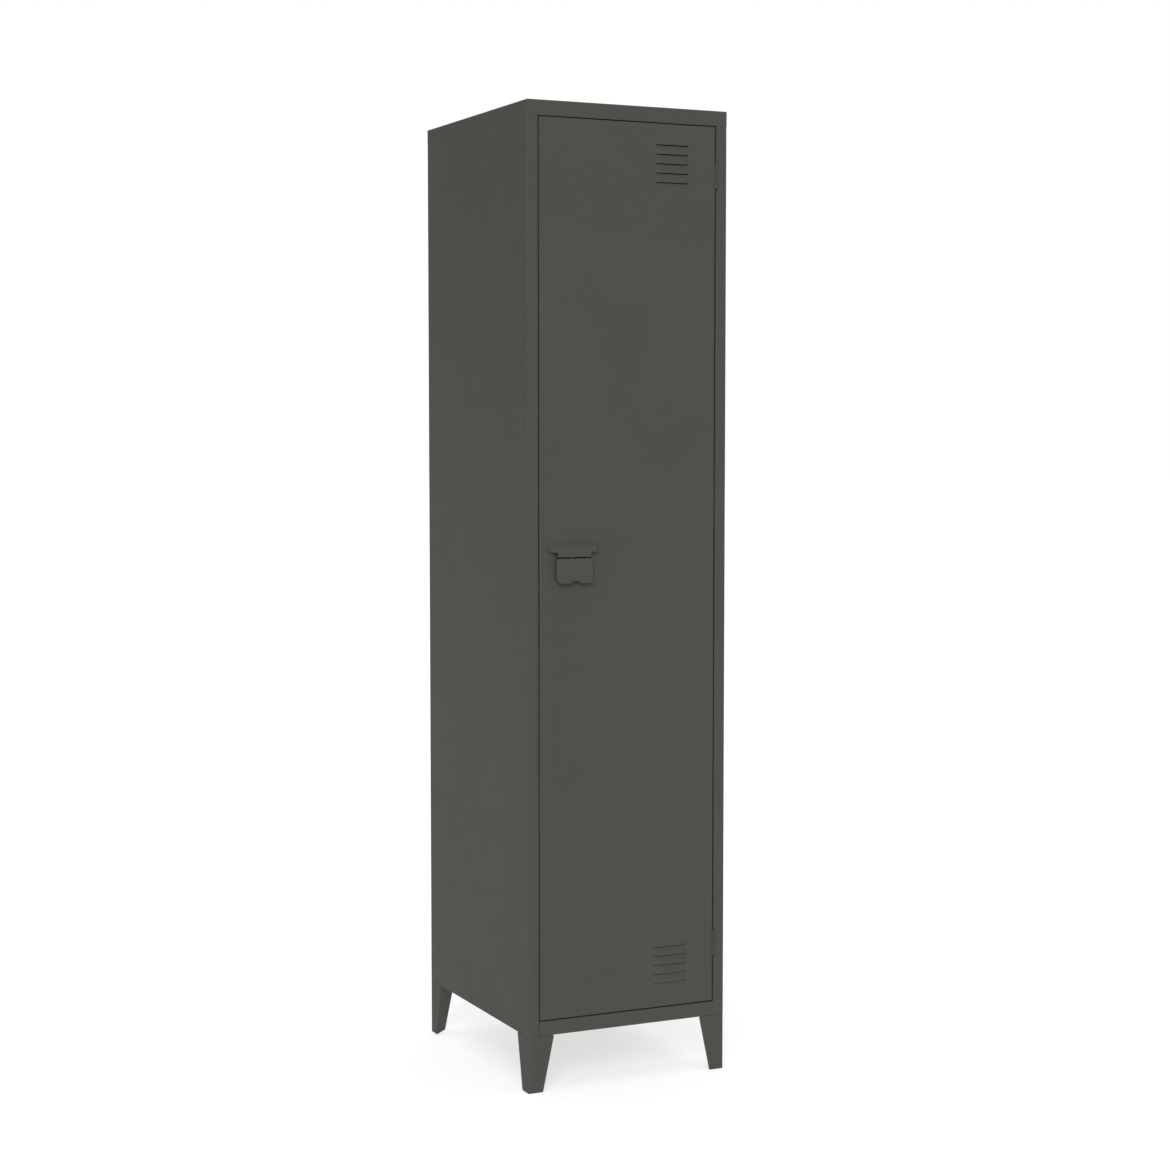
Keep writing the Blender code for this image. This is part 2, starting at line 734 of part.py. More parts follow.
def paddle_hub(x, tail):
    """Web from the back of the pull up to its pivot hub; the middle one carries the tail."""
    half = 2 * MM
    root = FRONT - PADDLE_RISE_TOP + PADDLE_WALL - 0.8 * MM
    web_outline = [
        (root, PIVOT_Z - 6.2 * MM),
        (root, PIVOT_Z - 11 * MM),
        (PIVOT_Y + 2.0 * MM, PIVOT_Z - 9 * MM),
        (PIVOT_Y + HUB_RADIUS * 0.95, PIVOT_Z),
        (PIVOT_Y - 0.2 * MM, PIVOT_Z),
        (PIVOT_Y - 0.2 * MM, PIVOT_Z - 5.0 * MM),
    ]
    web = plate("web", web_outline, x - half, x + half, paint(), axis="X")
    hub = plate("hub", circle(PIVOT_Y, PIVOT_Z, HUB_RADIUS), x - half, x + half, paint(), axis="X")
    combine(web, hub, "UNION")
    if tail:
        arm = block(
            "tail", x - half, x + half, PIVOT_Y + HUB_RADIUS / 2, PIVOT_Y + TAIL_REACH,
            PIVOT_Z - TAIL_HALF, PIVOT_Z + TAIL_HALF, paint(),
        )
        combine(web, arm, "UNION")
    return web


def paddle_pin():
    half = TONGUE_WIDTH / 2 - 0.2 * MM
    return plate(
        "handle_pivot_pin", circle(PIVOT_Y, PIVOT_Z, PIVOT_RADIUS, 12), HANDLE_X - half, HANDLE_X + half,
        zinc(), axis="X", smooth=True,
    )


def spring_path():
    """Centre line of the torsion spring: two upright legs joined by the coil round the pin."""
    start = HANDLE_X + 5 * MM
    end = start + SPRING_PITCH * SPRING_TURNS
    leg_y = PIVOT_Y + SPRING_RADIUS
    leg_z = PIVOT_Z + 6 * MM
    points = [(start - 0.2 * MM, leg_y, leg_z)]
    for step in range(SPRING_TURNS * 10 + 1):
        turn = step / 10
        y, z = circle_point(PIVOT_Y, PIVOT_Z, SPRING_RADIUS, 2 * math.pi * turn)
        points.append((start + SPRING_PITCH * turn, y, z))
    points.append((end + 0.2 * MM, leg_y, leg_z))
    return points


def paddle_spring():
    """Torsion spring coiled round the pivot pin between two hubs."""
    curve = bpy.data.curves.new("handle_spring", "CURVE")
    curve.dimensions = "3D"
    curve.bevel_depth = SPRING_WIRE
    curve.bevel_resolution = 1
    curve.use_fill_caps = True
    points = spring_path()
    spline = curve.splines.new("POLY")
    spline.points.add(len(points) - 1)
    for target, point in zip(spline.points, points):
        target.co = (*point, 1.0)
    holder = bpy.data.objects.new("spring_curve", curve)
    bpy.context.scene.collection.objects.link(holder)
    graph = bpy.context.evaluated_depsgraph_get()
    mesh = bpy.data.meshes.new_from_object(holder.evaluated_get(graph))
    bpy.data.objects.remove(holder, do_unlink=True)
    bm = bmesh.new()
    bm.from_mesh(mesh)
    bmesh.ops.remove_doubles(bm, verts=bm.verts[:], dist=0.01 * MM)
    bmesh.ops.recalc_face_normals(bm, faces=bm.faces[:])
    return add_object("handle_return_spring", bm, zinc(), smooth=True)


# ---------------------------------------------------------------- latch

def latch_bar():
    """Flat bar down the latch side of the door, with the arm that the handle's tail pushes."""
    bar = block(
        "latch_bar", BAR_LEFT, BAR_LEFT + BAR_WIDTH, BAR_FRONT, BAR_FRONT + BAR_THICKNESS,
        BAR_BOTTOM, BAR_TOP, zinc(),
    )
    arm_top = PIVOT_Z - TAIL_HALF - WELD_GAP
    arm = block(
        "arm", BAR_LEFT + BAR_WIDTH - 2 * MM, HANDLE_X + 7 * MM, BAR_FRONT, BAR_FRONT + BAR_THICKNESS,
        arm_top - 12 * MM, arm_top, zinc(),
    )
    return combine(bar, arm, "UNION")


def latch_hook(name, height):
    """Hook behind the bar: its nose rises behind the strike."""
    root = BAR_FRONT + BAR_THICKNESS + WELD_GAP
    catch = STRIKE_FRONT + STRIKE_THICKNESS + 0.8 * MM
    tip = catch + 5.5 * MM
    outline = [
        (root, height - 12 * MM),
        (root + 4 * MM, height - 12 * MM),
        (root + 8 * MM, height - 7 * MM),
        (tip - 2 * MM, height - 7 * MM),
        (tip, height - 5 * MM),
        (tip, height + 2 * MM),
        (catch + 1.5 * MM, height + 5.5 * MM),
        (catch, height + 5.5 * MM),
        (catch, height),
        (root + 5 * MM, height),
        (root, height + 8 * MM),
    ]
    left = HOOK_X - HOOK_THICKNESS / 2
    return plate(name, outline, left, left + HOOK_THICKNESS, zinc(), axis="X")


def latch_guide(name, height):
    """Staple that keeps the bar against the door."""
    clearance = 0.5 * MM
    left = BAR_LEFT - clearance
    right = BAR_LEFT + BAR_WIDTH + clearance
    web = BAR_FRONT + BAR_THICKNESS + clearance
    thickness = 1.2 * MM
    outline = [
        (left - thickness, DOOR_INSIDE), (left, DOOR_INSIDE), (left, web), (right, web),
        (right, DOOR_INSIDE), (right + thickness, DOOR_INSIDE), (right + thickness, web + thickness),
        (left - thickness, web + thickness),
    ]
    return plate(name, outline, height - 7 * MM, height + 7 * MM, zinc())


def strike(name, height):
    """Keeper plate on the upright's stop flange, with the window that the hook passes through."""
    sheet = front_plate(
        name, rectangle(STRIKE_LEFT, STRIKE_RIGHT, height - 24 * MM, height + 12 * MM),
        STRIKE_FRONT, STRIKE_FRONT + STRIKE_THICKNESS, zinc(),
    )
    window = block(
        "window", HOOK_X - 5.5 * MM, HOOK_X + 6 * MM, STRIKE_FRONT - 1 * MM,
        STRIKE_FRONT + STRIKE_THICKNESS + 1 * MM, height - 18 * MM, height + 2.5 * MM, zinc(),
    )
    return combine(sheet, window, "DIFFERENCE")


def door_buffer(name, height):
    """Rubber pad between the stop flange and the closed door."""
    x = -(OPENING_HALF - STOP_FLANGE / 2)
    near = FRONT + DOOR_DEPTH + WELD_GAP
    far = FRONT + JAMB_DEPTH - WELD_GAP
    return front_plate(name, circle(x, height, 5 * MM), near, far, rubber())


# ---------------------------------------------------------------- inside

def hat_shelf():
    return tray(
        "hat_shelf", WALL_INNER - 1.5 * MM, FRONT + JAMB_DEPTH + 14 * MM, BACK - 10 * MM,
        SHELF_TOP, SHELF_TOP - SHELF_FOLD, SHELF_LIP, paint(),
    )


def shelf_clip(name, side, y):
    """Angle on the side wall that the shelf rests on."""
    edge = WALL_INNER - WELD_GAP
    top = SHELF_TOP - SHELF_FOLD - WELD_GAP
    section = [(edge, top - 14 * MM), (edge, top), (edge - 11 * MM, top)]
    points = []
    for x, z in section:
        points.append((side * x, y - 10 * MM, z))
        points.append((side * x, y + 10 * MM, z))
    faces = [(0, 2, 3, 1), (2, 4, 5, 3)]
    if side > 0:
        faces = [face[::-1] for face in faces]
    return skin_object(name, points, faces, 1.2 * MM, zinc())


def coat_rail():
    """Round tube across the compartment under the shelf."""
    half = WALL_INNER - SOCKET_FLANGE - 2 * WELD_GAP
    return plate(
        "coat_rail", circle(0.0, RAIL_Z, RAIL_RADIUS, 20), -half, half, zinc(), axis="X",
        holes=[circle(0.0, RAIL_Z, RAIL_BORE, 20)], smooth=True,
    )


def rail_disc(name, radius, start, end):
    """A round slice of the rail socket between two places along X."""
    low, high = sorted((start, end))
    return plate(name, circle(0.0, RAIL_Z, radius, 24), low, high, zinc(), axis="X", smooth=True)


def rail_socket(name, side):
    """Cup that holds an end of the rail: a flange on the wall with an open collar."""
    wall = side * (WALL_INNER - WELD_GAP)
    face = wall - side * SOCKET_FLANGE
    mouth = wall - side * SOCKET_DEPTH
    socket = rail_disc(name, 17 * MM, wall, face)
    combine(socket, rail_disc("collar", RAIL_RADIUS + 2 * MM, face + side * 1 * MM, mouth), "UNION")
    seat = rail_disc("seat", RAIL_RADIUS + 0.4 * MM, face, mouth - side * 1 * MM)
    return combine(socket, seat, "DIFFERENCE")


# ---------------------------------------------------------------- assembly

def build_body():
    side_panel("side_panel_left", -1)
    right = side_panel("side_panel_right", 1)
    apply_modifiers(right)
    for height in HINGE_HEIGHTS.values():
        notch_for_hinge(right, height)
    back_panel()
    bottom_rail()
    floor_pan()
    top_cap()
    head_stop()
    for end_name, end in (("front", -1), ("back", 1)):
        for side_name, side in (("left", -1), ("right", 1)):
            leg(f"leg_{end_name}_{side_name}", side, end)
            foot_plug(f"foot_plug_{end_name}_{side_name}", side, end)


def build_inside():
    hat_shelf()
    for side_name, side in (("left", -1), ("right", 1)):
        for end_name, y in (("front", FRONT + 70 * MM), ("back", BACK - 50 * MM)):
            shelf_clip(f"shelf_clip_{end_name}_{side_name}", side, y)
        rail_socket(f"rail_socket_{side_name}", side)
    coat_rail()
    for name, height in HOOK_HEIGHTS.items():
        strike(f"strike_{name}", height)
    for name, height in BUFFER_HEIGHTS.items():
        door_buffer(f"door_buffer_{name}", height)


def build_door():
    """Everything that swings with the door, on its hinge axis."""
    pieces = [door_skin(), door_stiffener(), handle_hood(), backing_plate(), paddle_pin(), paddle_spring()]
    for side_name, side in (("left", -1), ("right", 1)):
        pieces.append(hood_screw(f"hood_screw_{side_name}", side))
    for name, height in GUIDE_HEIGHTS.items():
        pieces.append(latch_guide(f"latch_guide_{name}", height))
    for name, height in HINGE_HEIGHTS.items():
        pieces.append(hinge_door_leaf(f"hinge_door_leaf_{name}", height))
        hinge_frame_leaf(f"hinge_frame_leaf_{name}", height)
        hinge_pin(f"hinge_pin_{name}", height)
    axis = joint_axis("door_axis", (HINGE_X, HINGE_Y, DOOR_BOTTOM))
    follow(axis, pieces)
    return axis


def build_latch(door_axis):
    pieces = [latch_bar()]
    for name, height in HOOK_HEIGHTS.items():
        pieces.append(latch_hook(f"latch_hook_{name}", height))
    follow(door_axis, pieces)


def build_handle(door_axis):
    pull = paddle()
    axis = joint_axis("handle_axis", (HANDLE_X, PIVOT_Y, PIVOT_Z))
    follow(axis, [pull])
    follow(door_axis, [axis])


def main():
    clear_scene()
    build_body()
    build_inside()
    door_axis = build_door()
    build_latch(door_axis)
    build_handle(door_axis)


main()
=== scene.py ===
import json
import math

import bmesh
import bpy
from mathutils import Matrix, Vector


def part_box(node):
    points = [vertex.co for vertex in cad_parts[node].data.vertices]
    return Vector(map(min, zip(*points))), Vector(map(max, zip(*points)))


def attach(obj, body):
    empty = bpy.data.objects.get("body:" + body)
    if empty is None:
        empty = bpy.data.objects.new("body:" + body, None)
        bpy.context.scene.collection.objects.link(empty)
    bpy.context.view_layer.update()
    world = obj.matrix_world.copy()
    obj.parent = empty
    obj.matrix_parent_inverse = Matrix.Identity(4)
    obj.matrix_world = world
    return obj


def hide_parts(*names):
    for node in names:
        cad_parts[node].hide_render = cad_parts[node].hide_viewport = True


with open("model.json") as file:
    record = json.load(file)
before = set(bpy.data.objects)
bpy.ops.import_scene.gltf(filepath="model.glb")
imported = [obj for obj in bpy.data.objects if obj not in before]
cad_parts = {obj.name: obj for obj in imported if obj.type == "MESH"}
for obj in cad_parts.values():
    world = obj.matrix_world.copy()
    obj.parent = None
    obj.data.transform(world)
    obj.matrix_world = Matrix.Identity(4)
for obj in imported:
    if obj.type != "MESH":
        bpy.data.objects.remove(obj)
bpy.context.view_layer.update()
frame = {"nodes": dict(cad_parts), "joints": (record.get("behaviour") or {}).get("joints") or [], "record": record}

# Lengths are in metres. Angles are in radians, apart from the suns' angles, which are in degrees.
MM = 0.001
NODES = frame["nodes"]
BODY_OF = {
    node: body for body, members in frame["record"]["behaviour"]["bodies"].items() for node in members
}

# ---------------------------------------------------------------- camera, light, floor

SENSOR = 36.0
LENS = 70.4338
YAW = 0.43966
PITCH = -0.0687
CAMERA_PLACE = (-1.9112, -4.1208, 1.2511)
VIEW_DEPTH = 100.0

WHITE = (1.0, 1.0, 1.0, 1.0)
WORLD_FRONT = 0.42
WORLD_BACK = 0.33
WORLD_FADE = 0.7
KEY_ENERGY = 2.04
KEY_ANGLE = 28
KEY_DIRECTION = (0.44, 0.76, -0.48)
TOP_ENERGY = 1.0
TOP_ANGLE = 60
TOP_DIRECTION = (0.0, 0.0, -1.0)
BACK_ENERGY = 0.8
BACK_ANGLE = 40
BACK_DIRECTION = (-0.55, -0.72, -0.42)
FLOOR_REACH = 40.0
FLOOR_ALBEDO = 0.4
FLOOR_ROUGHNESS = 0.9
FLOOR_GLOW = 0.66


def add_camera():
    """Camera at the photograph's viewing angle: in front of the cabinet, to its left, above its middle."""
    data = bpy.data.cameras.new("photo_camera")
    data.sensor_width = SENSOR
    data.lens = LENS
    data.clip_end = VIEW_DEPTH
    camera = bpy.data.objects.new("photo_camera", data)
    camera.location = CAMERA_PLACE
    camera.rotation_euler = (math.pi / 2 + PITCH, 0.0, -YAW)
    bpy.context.scene.collection.objects.link(camera)
    bpy.context.scene.camera = camera


def add_world():
    """Surround that the camera sees as white; as a light it is dimmer, and dimmest behind the cabinet."""
    world = bpy.data.worlds.new("studio")
    world.use_nodes = True
    nodes, links = world.node_tree.nodes, world.node_tree.links
    background = nodes["Background"]
    background.inputs["Color"].default_value = WHITE
    direction = nodes.new("ShaderNodeTexCoord")
    split = nodes.new("ShaderNodeSeparateXYZ")
    links.new(direction.outputs["Generated"], split.inputs[0])
    fade = nodes.new("ShaderNodeMapRange")
    fade.interpolation_type = "SMOOTHSTEP"
    fade.inputs["From Min"].default_value = -WORLD_FADE
    fade.inputs["From Max"].default_value = WORLD_FADE
    fade.inputs["To Min"].default_value = WORLD_FRONT
    fade.inputs["To Max"].default_value = WORLD_BACK
    links.new(split.outputs["Y"], fade.inputs["Value"])
    rays = nodes.new("ShaderNodeLightPath")
    pick = nodes.new("ShaderNodeMix")
    links.new(rays.outputs["Is Camera Ray"], pick.inputs["Factor"])
    links.new(fade.outputs["Result"], pick.inputs["A"])
    pick.inputs["B"].default_value = 1.0
    links.new(pick.outputs["Result"], background.inputs["Strength"])
    bpy.context.scene.world = world
    bpy.context.scene.view_settings.view_transform = "Standard"


def add_sun(name, direction, energy, angle):
    """Distant light that shines along a direction; its angle in degrees sets how soft its shadows are."""
    data = bpy.data.lights.new(name, "SUN")
    data.energy = energy
    data.angle = math.radians(angle)
    light = bpy.data.objects.new(name, data)
    light.rotation_euler = Vector(direction).to_track_quat("-Z", "Y").to_euler()
    bpy.context.scene.collection.objects.link(light)


def add_floor():
    """Matt floor that glows a little, so that it stays white with only a faint shadow."""
    mesh = bpy.data.meshes.new("floor")
    bm = bmesh.new()
    bmesh.ops.create_grid(bm, x_segments=1, y_segments=1, size=FLOOR_REACH)
    bm.to_mesh(mesh)
    bm.free()
    surface = bpy.data.materials.new("floor")
    surface.use_nodes = True
    shader = surface.node_tree.nodes["Principled BSDF"]
    shader.inputs["Base Color"].default_value = (*(FLOOR_ALBEDO,) * 3, 1.0)
    shader.inputs["Roughness"].default_value = FLOOR_ROUGHNESS
    shader.inputs["Specular IOR Level"].default_value = 0.0
    shader.inputs["Emission Color"].default_value = WHITE
    shader.inputs["Emission Strength"].default_value = FLOOR_GLOW
    mesh.materials.append(surface)
    floor = bpy.data.objects.new("floor", mesh)
    bpy.context.scene.collection.objects.link(floor)


# ---------------------------------------------------------------- materials

PAINT = (0.0600, 0.0570, 0.0500)
PAINT_SPECULAR = 0.11
PAINT_CLOUD = 0.035
PAINT_SPECK = 0.08
PAINT_SPECK_SHARE = 0.4
PAINT_WORN = 1.22
RUBBER_SPECULAR = 0.3

# A Mix node has sockets of one name for each type of data, so its colours go by their places.
COLOUR_A, COLOUR_B, COLOUR_OUT = 6, 7, 2


def new_material(name):
    """Material with its node tree and its main shader."""
    surface = bpy.data.materials.new(name)
    surface.use_nodes = True
    tree = surface.node_tree
    return surface, tree, tree.nodes["Principled BSDF"]


def noise(tree, scale, detail, stretch=(1.0, 1.0, 1.0), roughness=0.5):
    """Noise in the piece's own metres, from 0 to 1."""
    place = tree.nodes.new("ShaderNodeTexCoord")
    mapping = tree.nodes.new("ShaderNodeMapping")
    mapping.inputs["Scale"].default_value = stretch
    texture = tree.nodes.new("ShaderNodeTexNoise")
    texture.inputs["Scale"].default_value = scale
    texture.inputs["Detail"].default_value = detail
    texture.inputs["Roughness"].default_value = roughness
    tree.links.new(place.outputs["Object"], mapping.inputs["Vector"])
    tree.links.new(mapping.outputs["Vector"], texture.inputs["Vector"])
    return texture.outputs["Fac"]


def ranged(tree, value, low, high, from_low=0.3, from_high=0.7):
    """Value stretched so that from_low becomes low and from_high becomes high."""
    node = tree.nodes.new("ShaderNodeMapRange")
    node.inputs["From Min"].default_value = from_low
    node.inputs["From Max"].default_value = from_high
    node.inputs["To Min"].default_value = low
    node.inputs["To Max"].default_value = high
    tree.links.new(value, node.inputs["Value"])
    return node.outputs["Result"]


def feed(tree, socket, value):
    """Give a socket a number, a colour or another node's output."""
    if isinstance(value, tuple):
        socket.default_value = (*value, 1.0)
    elif isinstance(value, float):
        socket.default_value = value
    else:
        tree.links.new(value, socket)


def mixed(tree, factor, first, second):
    """Mix of two colours: the first where the factor is 0, the second where it is 1."""
    node = tree.nodes.new("ShaderNodeMix")
    node.data_type = "RGBA"
    feed(tree, node.inputs["Factor"], factor)
    feed(tree, node.inputs[COLOUR_A], first)
    feed(tree, node.inputs[COLOUR_B], second)
    return node.outputs[COLOUR_OUT]


def product(tree, first, second):
    """Product of two numbers."""
    node = tree.nodes.new("ShaderNodeMath")
    node.operation = "MULTIPLY"
    feed(tree, node.inputs[0], first)
    feed(tree, node.inputs[1], second)
    return node.outputs[0]


def scaled(colour, factor):
    """Colour made lighter or darker."""
    return tuple(channel * factor for channel in colour)


def bump(tree, shader, layers):
    """Chain of bump nodes, each with a height, its depth in metres and its strength."""
    normal = None
    for height, depth, strength in layers:
        node = tree.nodes.new("ShaderNodeBump")
        node.inputs["Distance"].default_value = depth
        node.inputs["Strength"].default_value = strength
        tree.links.new(height, node.inputs["Height"])
        if normal:
            tree.links.new(normal, node.inputs["Normal"])
        normal = node.outputs["Normal"]
    tree.links.new(normal, shader.inputs["Normal"])


def edge_amount(tree):
    """1 on the rounded edges that bevel() and mark_edge_rows() mark, 0 elsewhere."""
    node = tree.nodes.new("ShaderNodeAttribute")
    node.attribute_name = "edge"
    return node.outputs["Fac"]


def powder_coat():
    """Satin powder coat: fine orange peel, faint cloudiness, thinner and lighter over the folds."""
    surface, tree, shader = new_material("powder_coat_satin")
    cloud = ranged(tree, noise(tree, 5.0, 3.0), 0.0, 1.0)
    speck = ranged(tree, noise(tree, 1500.0, 2.0), 0.0, 1.0)
    broad = mixed(tree, cloud, scaled(PAINT, 1 - PAINT_CLOUD), scaled(PAINT, 1 + PAINT_CLOUD))
    grain = mixed(tree, speck, scaled(PAINT, 1 - PAINT_SPECK), scaled(PAINT, 1 + PAINT_SPECK))
    coat = mixed(tree, PAINT_SPECK_SHARE, broad, grain)
    rub = noise(tree, 130.0, 4.0, roughness=0.65)
    worn = product(tree, edge_amount(tree), ranged(tree, rub, 0.1, 0.6, 0.38, 0.68))
    colour = mixed(tree, worn, coat, scaled(PAINT, PAINT_WORN))
    tree.links.new(colour, shader.inputs["Base Color"])
    patch = noise(tree, 22.0, 3.0)
    tree.links.new(ranged(tree, patch, 0.54, 0.59), shader.inputs["Roughness"])
    shader.inputs["Specular IOR Level"].default_value = PAINT_SPECULAR
    peel = noise(tree, 620.0, 2.0)
    ripple = noise(tree, 9.0, 1.0)
    bump(tree, shader, ((ripple, 0.0006, 0.03), (peel, 0.00032, 0.5)))
    return surface


def zinc():
    """Bright zinc plate: soft spangle, faint rolling lines."""
    surface, tree, shader = new_material("zinc_plate")
    spangle = noise(tree, 260.0, 3.0)
    lines = noise(tree, 900.0, 2.0, stretch=(1.0, 1.0, 0.04))
    base = mixed(tree, ranged(tree, spangle, 0.0, 1.0), (0.38, 0.39, 0.39), (0.50, 0.51, 0.51))
    worn = product(tree, edge_amount(tree), 0.45)
    tree.links.new(mixed(tree, worn, base, (0.62, 0.62, 0.61)), shader.inputs["Base Color"])
    shader.inputs["Metallic"].default_value = 1.0
    tree.links.new(ranged(tree, spangle, 0.32, 0.50), shader.inputs["Roughness"])
    bump(tree, shader, ((spangle, 0.00004, 0.2), (lines, 0.00002, 0.25)))
    return surface


def spring_steel():
    """Oil-tempered wire, faintly mottled."""
    surface, tree, shader = new_material("spring_wire")
    tone = noise(tree, 700.0, 2.0)
    base = mixed(tree, ranged(tree, tone, 0.0, 1.0), (0.22, 0.21, 0.20), (0.33, 0.32, 0.30))
    tree.links.new(base, shader.inputs["Base Color"])
    shader.inputs["Metallic"].default_value = 1.0
    tree.links.new(ranged(tree, tone, 0.26, 0.40), shader.inputs["Roughness"])
    bump(tree, shader, ((tone, 0.00001, 0.3),))
    return surface


def foot_plastic():
    """Moulded black polyethylene with a fine erosion texture, scuffed and lighter at its edges."""
    surface, tree, shader = new_material("moulded_plastic")
    texture = noise(tree, 1100.0, 3.0)
    scuff = noise(tree, 90.0, 4.0)
    base = mixed(tree, ranged(tree, scuff, 0.0, 1.0), (0.016, 0.016, 0.017), (0.030, 0.030, 0.031))
    worn = product(tree, edge_amount(tree), 0.4)
    tree.links.new(mixed(tree, worn, base, (0.060, 0.059, 0.058)), shader.inputs["Base Color"])
    tree.links.new(ranged(tree, scuff, 0.48, 0.66), shader.inputs["Roughness"])
    bump(tree, shader, ((texture, 0.00006, 0.4),))
    return surface


def buffer_rubber():
    """Matt black rubber with a dusty bloom."""
    surface, tree, shader = new_material("buffer_rubber_matt")
    bloom = noise(tree, 160.0, 4.0)
    base = mixed(tree, ranged(tree, bloom, 0.0, 1.0), (0.012, 0.012, 0.012), (0.030, 0.029, 0.028))
    tree.links.new(base, shader.inputs["Base Color"])
    tree.links.new(ranged(tree, bloom, 0.70, 0.88), shader.inputs["Roughness"])
    shader.inputs["Specular IOR Level"].default_value = RUBBER_SPECULAR
    bump(tree, shader, ((noise(tree, 900.0, 2.0), 0.00005, 0.4),))
    return surface


FINISHES = {
    "powder_coat": powder_coat(),
    "zinc": zinc(),
    "spring_steel": spring_steel(),
    "foot_plastic": foot_plastic(),
    "buffer_rubber": buffer_rubber(),
}


def slot_of(name):
    """Material slot that the CAD gives a node."""
    return NODES[name].data.materials[0].name.split(".")[0]


# ---------------------------------------------------------------- mesh helpers

SMOOTH_BELOW = math.radians(38)
SHARP_ABOVE = math.radians(24)
FLAT_WITHIN = math.radians(0.4)
WELD = 0.005 * MM
CUT_WELD = 0.002 * MM
SLIVER = 0.002 * MM


def add_piece(name, bm, node, slot=None):
    """Turn a mesh into a visible piece that stands for a CAD node and moves with its body."""
    mesh = bpy.data.meshes.new(name)
    for face in bm.faces:
        face.smooth = True
    bm.to_mesh(mesh)
    bm.free()
    mesh.set_sharp_from_angle(angle=SMOOTH_BELOW)
    slot = slot or slot_of(node)
    mesh.materials.append(FINISHES[slot])
    piece = bpy.data.objects.new(name, mesh)
    bpy.context.scene.collection.objects.link(piece)
    weighted = piece.modifiers.new("weighted", "WEIGHTED_NORMAL")
    weighted.keep_sharp = True
    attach(piece, BODY_OF[node])
    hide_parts(node)
    return piece


def edge_layer(bm):
    """Face layer that marks rounded edges for the materials."""
    return bm.faces.layers.float.get("edge") or bm.faces.layers.float.new("edge")


def bevel(bm, edges, radius, segments):
    """Round some edges and mark the new faces."""
    if not edges:
        return
    layer = edge_layer(bm)
    made = bmesh.ops.bevel(
        bm, geom=edges, offset=radius, offset_type="OFFSET", segments=segments, profile=0.5,
        affect="EDGES", clamp_overlap=True, loop_slide=True,
    )
    for face in made["faces"]:
        face[layer] = 1.0


def narrow(face, limit):
    """Whether a face's mean width is under a limit: a strip's area is half its outline times its width."""
    around = sum(edge.calc_length() for edge in face.edges)
    return 2 * face.calc_area() / around < limit


def sharp(edge):
    """Whether the two faces at an edge clearly turn."""
    return len(edge.link_faces) == 2 and edge.calc_face_angle(0.0) > SHARP_ABOVE


def welded_copy(name):
    """CAD node's mesh, with its corners joined and its flat faces merged."""
    bm = bmesh.new()
    bm.from_mesh(NODES[name].data)
    bmesh.ops.remove_doubles(bm, verts=bm.verts, dist=WELD)
    bmesh.ops.dissolve_limit(bm, angle_limit=FLAT_WITHIN, verts=bm.verts, edges=bm.edges)
    edge_layer(bm)
    return bm


# ---------------------------------------------------------------- sheet and solid parts

SHEET = 1.0 * MM
LEG_SHEET = 1.5 * MM
RIM_LIMIT = 1.25
FOLD_INNER = 0.6 * MM
FOLD_OUTER_STEPS = 4
FOLD_INNER_STEPS = 3
RIM_BREAK = 0.06 * MM
ROUND_STEPS = 2

SHEET_PARTS = (
    "top_cap", "side_panel_left", "side_panel_right", "back_panel", "floor_pan", "bottom_rail",
    "door_head_stop", "door_stiffener", "hat_shelf",
)
LEGS = ("leg_front_left", "leg_front_right", "leg_back_left", "leg_back_right")

ROUNDED_PARTS = {
    "foot_plug": 1.0, "strike": 0.3, "door_buffer": 0.8, "shelf_clip": 0.25, "rail_socket": 0.35,
    "latch_bar": 0.4, "latch_hook": 0.35, "latch_guide": 0.25, "hood_screw": 0.2,
    "handle_backing_plate": 0.2, "hinge_door_leaf": 0.15, "hinge_frame_leaf": 0.15,
}

# The welded seams: a part, the axis across the seam, and which of the part's ends meet it.
SEAM_NEAR = 0.1 * MM
SEAM_REACH = 0.295 * MM
SEAMS = {
    "top_cap": ((2, "low"),),
    "bottom_rail": ((0, "low high"),),
    "door_head_stop": ((0, "low high"),),
    "back_panel": ((0, "low high"), (2, "low")),
    **{leg: ((2, "high"),) for leg in LEGS},
}


def on_rim(edge, sheet):
    """Whether an edge borders the sheet's cut rim, which is a narrow face."""
    return any(narrow(face, RIM_LIMIT * sheet) for face in edge.link_faces)


def fold_edges(bm, sheet, convex):
    """Edges between wide faces: the sheet's folds, and the legs' slanted rims, which are wide too."""
    return [
        edge for edge in bm.edges
        if sharp(edge) and edge.is_convex == convex and not on_rim(edge, sheet)
    ]


def cut_edges(bm, sheet):
    """Edges along the sheet's cut rim."""
    return [edge for edge in bm.edges if sharp(edge) and on_rim(edge, sheet)]


def close_seams(name, bm):
    """Carry a sheet's rim most of the way over the gap that the CAD leaves at a welded seam."""
    low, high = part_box(name)
    for axis, ends in SEAMS.get(name, ()):
        for vertex in bm.verts:
            if "low" in ends and vertex.co[axis] < low[axis] + SEAM_NEAR:
                vertex.co[axis] -= SEAM_REACH
            if "high" in ends and vertex.co[axis] > high[axis] - SEAM_NEAR:
                vertex.co[axis] += SEAM_REACH


def folded_piece(name, sheet):
    """Sheet part with bent folds and slightly broken rims."""
    bm = welded_copy(name)
    close_seams(name, bm)
    bevel(bm, fold_edges(bm, sheet, True), FOLD_INNER + sheet, FOLD_OUTER_STEPS)
    bevel(bm, fold_edges(bm, sheet, False), FOLD_INNER, FOLD_INNER_STEPS)
    bevel(bm, cut_edges(bm, sheet), RIM_BREAK, 1)
    bmesh.ops.dissolve_degenerate(bm, dist=SLIVER, edges=bm.edges)
    return add_piece(name + "_sheet", bm, name)


